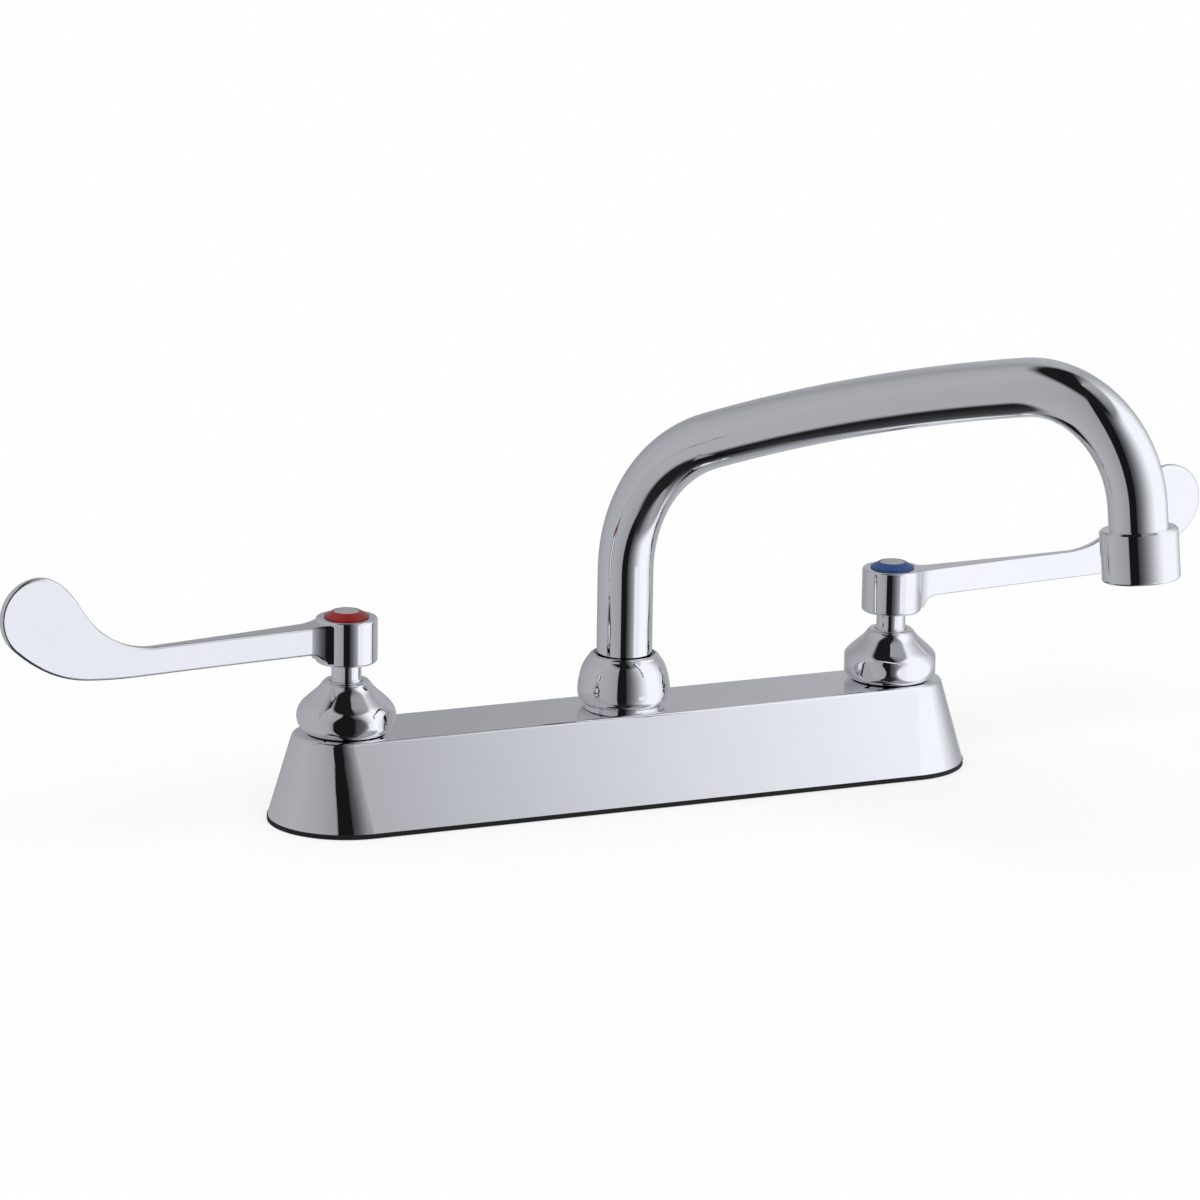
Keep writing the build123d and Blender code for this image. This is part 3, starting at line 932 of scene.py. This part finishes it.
    def woven(self, outlet: Vector, out: Vector) -> bpy.types.Object:
        """Weave the screen inside its hoop, a little beyond the tube's open end.

        Args:
            outlet: the middle of the tube's open end.
            out: the direction in which the tube points there.

        Returns:
            The finished screen, in place.
        """
        tree = ShapeTree("woven screen")
        tree.length("Hoop Radius", self.hoop_r)
        tree.length("Hoop Width", self.hoop_width)
        tree.length("Hoop Height", self.hoop_height)
        tree.count("Hoop Sides", self.hoop_sides)
        tree.length("Pitch", self.pitch)
        tree.length("Wire Radius", self.wire_r)
        tree.count("Wire Sides", self.wire_sides)
        tree.length("Crimp", self.crimp)
        whole = tree.sheet.add("GeometryNodeJoinGeometry")
        for piece in (self.layer(tree, 0.0, 1.0), self.layer(tree, 90.0, -1.0), self.hoop(tree)):
            tree.sheet.join(piece, whole.inputs["Geometry"])
        tree.close(whole.outputs["Geometry"])
        seed = path_object("screen_seed", [Vector(), Vector((0.0, 0.0, MM))])
        screen = tree.grow(seed, "aerator_screen_woven", STEEL)
        turn = out.to_track_quat("Z", "Y").to_matrix().to_4x4()
        screen.data.transform(Matrix.Translation(outlet + out * self.beyond) @ turn)
        return screen


@dataclass
class Spout:
    """The swinging spout: a bent tube with a collar and an aerator at its outlet."""

    rest_deg: float = -60.87
    tube_r: float = 9.525 * MM
    wall: float = 1.25 * MM
    low: float = 43.5 * MM
    rise: float = 33.84 * MM
    # Each bend as its radius and its sweep in degrees
    bend_1: tuple[float, float] = (53.65 * MM, 69.21)
    bow: tuple[float, float] = (759.0 * MM, 9.75)
    bend_2: tuple[float, float] = (36.78 * MM, 95.13)
    tip: float = 16.02 * MM
    sides: int = 128
    step_deg: float = 1.0
    step_long: float = 1.05 * MM

    def centre_line(self) -> list[Vector]:
        """Follow the rise, the two bends, the slow bow between them and the tip.

        Returns:
            Points along the tube's centre, in place.
        """
        turn = math.radians(self.rest_deg)
        out = Vector((math.cos(turn), math.sin(turn), 0.0))
        along, up, heading = 0.0, self.low + self.rise, 90.0
        line = [(along, self.low), (along, up)]
        for radius, sweep in (self.bend_1, self.bow, self.bend_2):
            parts = round(sweep / min(self.step_deg, math.degrees(self.step_long / radius)))
            for _ in range(parts):
                before = math.radians(heading)
                heading -= sweep / parts
                after = math.radians(heading)
                along += radius * (math.sin(before) - math.sin(after))
                up += radius * (math.cos(after) - math.cos(before))
                line.append((along, up))
        last = math.radians(heading)
        line.append((along + self.tip * math.cos(last), up + self.tip * math.sin(last)))
        return [out * a + Vector((0.0, 0.0, z)) for a, z in line]

    def tube(self) -> bpy.types.Object:
        """Sweep the tube along its centre line.

        Returns:
            The finished tube.
        """
        tree = ShapeTree("swept tube")
        circle = tree.circle(tree.length("Tube Radius", self.tube_r), tree.count("Sides", self.sides))
        tree.close(tree.sweep(tree.inputs.outputs["Geometry"], circle))
        path = path_object("spout_path", self.centre_line())
        return tree.grow(path, "spout_tube_swept", CHROME_TUBE, self.wall)

    def build(self) -> None:
        """Build the tube and the screen, and dress the rest of the spout."""
        tube = self.tube()
        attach(tube, "spout")
        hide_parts("spout_tube")
        LOG.info("built %s with %d faces", tube.name, len(tube.data.polygons))
        before, end = self.centre_line()[-2:]
        screen = Screen().woven(end, (end - before).normalized())
        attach(screen, "spout")
        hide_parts("aerator_screen")
        LOG.info("built %s with %d faces", screen.name, len(screen.data.polygons))
        dress("spout_spigot", BRASS)
        dress("spout_orings", RUBBER)
        dress("outlet_collar", CHROME_TURNED)
        dress("aerator_washer", RUBBER)
        dress("aerator_insert", ACETAL)
        for node in ("outlet_collar", "aerator_insert", "aerator_washer"):
            bpy.data.objects[node].visible_glossy = False
        screen.visible_glossy = False


@dataclass
class Camera:
    """The camera at the photograph's angle, which sees a little beyond the floor's corners."""

    place: tuple[float, float, float] = (-0.7380, -1.6604, 0.5197)
    yaw_deg: float = 23.694
    pitch_deg: float = 13.998
    roll_deg: float = 0.867
    lens_mm: float = 164.70
    sensor_mm: float = 36.0
    sight: float = 50.0

    def build(self) -> None:
        """Set the camera up and make it the scene's own."""
        yaw, pitch, roll = (math.radians(a) for a in (self.yaw_deg, self.pitch_deg, self.roll_deg))
        ahead = math.cos(pitch)
        forward = Vector((math.sin(yaw) * ahead, math.cos(yaw) * ahead, -math.sin(pitch)))
        level = Vector((math.cos(yaw), -math.sin(yaw), 0.0))
        upright = level.cross(forward)
        right = math.cos(roll) * level + math.sin(roll) * upright
        up = right.cross(forward)
        data = bpy.data.cameras.new("camera")
        data.sensor_width = self.sensor_mm
        data.lens = self.lens_mm
        data.clip_end = self.sight
        camera = add_object("camera", data)
        turn = Matrix((right, up, -forward)).transposed()
        camera.matrix_world = Matrix.Translation(Vector(self.place)) @ turn.to_4x4()
        bpy.context.scene.camera = camera


@dataclass
class Floor:
    """A pale floor that is white to the camera and keeps the object's soft shadow."""

    reach: float = 30.0
    under: float = 0.2 * MM
    paint: float = 0.42
    glow: float = 0.6

    def coat(self) -> bpy.types.Material:
        """Mix matt paint with a glow that shows but lights nothing.

        Returns:
            The floor's material.
        """
        material, sheet = new_material("floor_pale")
        output = sheet.add("ShaderNodeOutputMaterial")
        matt = sheet.add("ShaderNodeBsdfDiffuse")
        matt.inputs["Color"].default_value = grey(self.paint)
        glow = sheet.add("ShaderNodeEmission")
        both = sheet.add("ShaderNodeAddShader")
        sheet.join(sheet.math("MULTIPLY", sheet.shown(), self.glow), glow.inputs["Strength"])
        sheet.join(matt.outputs[0], both.inputs[0])
        sheet.join(glow.outputs[0], both.inputs[1])
        sheet.join(both.outputs[0], output.inputs["Surface"])
        return material

    def build(self) -> None:
        """Lay the floor just under the gasket."""
        mesh = bpy.data.meshes.new("floor")
        corners = [
            (x * self.reach, y * self.reach, -self.under) for x, y in ((-1, -1), (1, -1), (1, 1), (-1, 1))
        ]
        mesh.from_pydata(corners, [], [(0, 1, 2, 3)])
        mesh.materials.append(self.coat())
        floor = add_object("floor", mesh)
        floor.visible_glossy = False


@dataclass
class LightTent:
    """The light tent round the object, seen only in the chrome.

    Its left side is dim, its right side is lit, and a dark slit stands open towards the camera.
    """

    x: float = 0.0
    y: float = -0.2
    radius: float = 0.5
    low: float = -0.7
    top: float = 1.3
    sides: int = 128
    facing_deg: float = -113.7
    low_fade: tuple[float, float] = (-0.60, -0.36)
    top_fade: tuple[float, float] = (0.75, 1.10)
    # A white card's brightness, its two sides as shares of the way round and its foot and head as
    # heights, each edge from where the card begins to where it is full
    card: float = 0.98
    card_left: tuple[float, float] = (0.618, 0.628)
    card_right: tuple[float, float] = (0.71, 0.69)
    card_foot: tuple[float, float] = (-0.19, -0.155)
    card_head: tuple[float, float] = (-0.02, -0.06)
    tint: Colour = (0.94, 0.96, 1.02)

    def bands(self) -> tuple[Stops, Stops, Stops]:
        """List the brightness round the tent.

        Returns:
            The low, middle and top band, each as degrees from the camera, which rise towards the cold
            valve, and the level there.
        """
        low = [
            (-180.0, 0.12), (-150.0, 0.05), (-100.0, 0.015), (0.0, 0.018), (20.0, 0.05), (45.0, 0.25),
            (80.0, 0.42), (120.0, 0.35), (150.0, 0.20), (180.0, 0.12),
        ]
        middle = [
            (-180.0, 0.47), (-156.0, 0.36), (-132.0, 0.45), (-100.0, 0.49), (-60.0, 0.43), (-34.0, 0.37),
            (-31.2, 0.30), (-30.0, 0.0095), (-1.5, 0.0095), (2.0, 0.06), (12.0, 0.11), (22.0, 0.21),
            (30.0, 0.30), (38.0, 0.42), (45.0, 0.54), (60.0, 0.82), (74.0, 1.06), (82.0, 1.10),
            (118.0, 1.10), (132.0, 0.85), (144.0, 0.57), (156.0, 0.42), (168.0, 0.49), (180.0, 0.47),
        ]
        top = [
            (-180.0, 0.012), (20.0, 0.012), (40.0, 0.20), (80.0, 0.33), (140.0, 0.42), (156.0, 0.15),
            (168.0, 0.012), (180.0, 0.012),
        ]
        return low, middle, top

    def band(self, sheet: NodeSheet, share: bpy.types.NodeSocket, stops: Stops) -> bpy.types.NodeSocket:
        """Turn a place round the tent into its brightness.

        Args:
            sheet: the nodes to add to.
            share: the place round the tent, 0 to 1, with the camera at 0.5.
            stops: degrees from the camera and brightness there, from -180 to 180.

        Returns:
            The brightness as a colour socket.
        """
        ramp = sheet.add("ShaderNodeValToRGB")
        first, last = ramp.color_ramp.elements
        first.position, last.position = 0.0, 1.0
        first.color, last.color = grey(stops[0][1]), grey(stops[-1][1])
        for degrees, level in stops[1:-1]:
            ramp.color_ramp.elements.new((degrees + 180.0) / 360.0).color = grey(level)
        sheet.join(share, ramp.inputs["Fac"])
        return ramp.outputs["Color"]

    def share(self, sheet: NodeSheet, parts: bpy.types.Node) -> bpy.types.NodeSocket:
        """Find how far round the tent a point stands.

        Args:
            sheet: the nodes to add to.
            parts: the node that gives the point's X, Y and Z.

        Returns:
            A socket from 0 to 1, with the camera at 0.5.
        """
        across = sheet.math("SUBTRACT", parts.outputs["X"], self.x)
        along = sheet.math("SUBTRACT", parts.outputs["Y"], self.y)
        angle = sheet.math("ARCTAN2", along, across)
        turned = sheet.math("SUBTRACT", angle, math.radians(self.facing_deg - 180.0))
        return sheet.math("FRACT", sheet.math("DIVIDE", turned, math.tau))

    def cloth(self) -> bpy.types.Material:
        """Light the tent's cloth by where it stands round the object and how high.

        Returns:
            The glowing cloth.
        """
        material, sheet = new_material("tent_cloth")
        output = sheet.add("ShaderNodeOutputMaterial")
        place = sheet.add("ShaderNodeTexCoord")
        parts = sheet.add("ShaderNodeSeparateXYZ")
        sheet.join(place.outputs["Object"], parts.inputs[0])
        share, height = self.share(sheet, parts), parts.outputs["Z"]
        low, middle, top = (self.band(sheet, share, stops) for stops in self.bands())
        lower = sheet.blend(low, middle, sheet.rise(height, *self.low_fade))
        whole = sheet.blend(lower, top, sheet.rise(height, *self.top_fade))
        left, right = (sheet.rise(share, *edge) for edge in (self.card_left, self.card_right))
        foot, head = (sheet.rise(height, *edge) for edge in (self.card_foot, self.card_head))
        sides = sheet.math("MULTIPLY", left, right)
        ends = sheet.math("MULTIPLY", foot, head)
        card = sheet.add("ShaderNodeRGB")
        card.outputs[0].default_value = grey(self.card)
        carded = sheet.blend(whole, card.outputs[0], sheet.math("MULTIPLY", sides, ends))
        tint = sheet.add("ShaderNodeVectorMath", operation="MULTIPLY")
        tint.inputs[1].default_value = self.tint
        sheet.join(carded, tint.inputs[0])
        glow = sheet.add("ShaderNodeEmission")
        sheet.join(tint.outputs[0], glow.inputs["Color"])
        sheet.join(glow.outputs[0], output.inputs["Surface"])
        return material

    def build(self) -> None:
        """Stand the tent's closed cylinder round the object."""
        mesh = bpy.data.meshes.new("light_tent")
        rim = [math.tau * k / self.sides for k in range(self.sides)]
        corners = [
            (self.x + self.radius * math.cos(a), self.y + self.radius * math.sin(a), z)
            for z in (self.low, self.top)
            for a in rim
        ]
        faces = []
        for k in range(self.sides):
            after = (k + 1) % self.sides
            faces.append((k, after, self.sides + after, self.sides + k))
        faces += [tuple(range(self.sides)), tuple(range(self.sides, 2 * self.sides))]
        mesh.from_pydata(corners, [], faces)
        mesh.materials.append(self.cloth())
        tent = add_object("light_tent", mesh)
        tent.visible_camera = False
        tent.visible_diffuse = False
        tent.visible_shadow = False


@dataclass
class Studio:
    """Camera, white floor, pale world, light tent and one soft lamp."""

    fill: float = 0.55
    lamp_power: float = 1.5
    lamp_width_deg: float = 50.0
    lamp_tilt_deg: tuple[float, float] = (32.0, -18.0)

    def lamp(self) -> None:
        """Hang one broad soft lamp over the left shoulder."""
        data = bpy.data.lights.new("soft_lamp", "SUN")
        data.energy = self.lamp_power
        data.angle = math.radians(self.lamp_width_deg)
        lamp = add_object("soft_lamp", data)
        lamp.rotation_euler = (*(math.radians(a) for a in self.lamp_tilt_deg), 0.0)
        lamp.visible_glossy = False

    def world(self) -> None:
        """Set an even pale world, pure white where the camera or a mirror looks past the tent."""
        world = bpy.data.worlds.new("studio")
        bpy.context.scene.world = world
        world.use_nodes = True
        sheet = NodeSheet(world.node_tree)
        output = sheet.add("ShaderNodeOutputWorld")
        plain = sheet.add("ShaderNodeBackground")
        plain.inputs["Color"].default_value = grey(1.0)
        level = sheet.math("ADD", sheet.math("MULTIPLY", sheet.shown(), 1.0 - self.fill), self.fill)
        sheet.join(level, plain.inputs["Strength"])
        sheet.join(plain.outputs[0], output.inputs["Surface"])

    def build(self) -> None:
        """Build the camera, the floor and the light."""
        Camera().build()
        Floor().build()
        self.world()
        LightTent().build()
        self.lamp()
        bpy.context.scene.view_settings.view_transform = "Standard"
        LOG.info("studio is ready")


def main() -> None:
    """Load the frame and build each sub-assembly in order."""
    logging.basicConfig(level=logging.INFO, format="%(name)s: %(message)s")
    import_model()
    Studio().build()
    Base().build()
    Valve(Side.HOT, BUTTON_RED, flat_deg=-108.5).build()
    Valve(Side.COLD, BUTTON_BLUE, flat_deg=-84.3).build()
    Spout().build()
    bpy.context.view_layer.update()


if __name__ == "__main__":
    main()
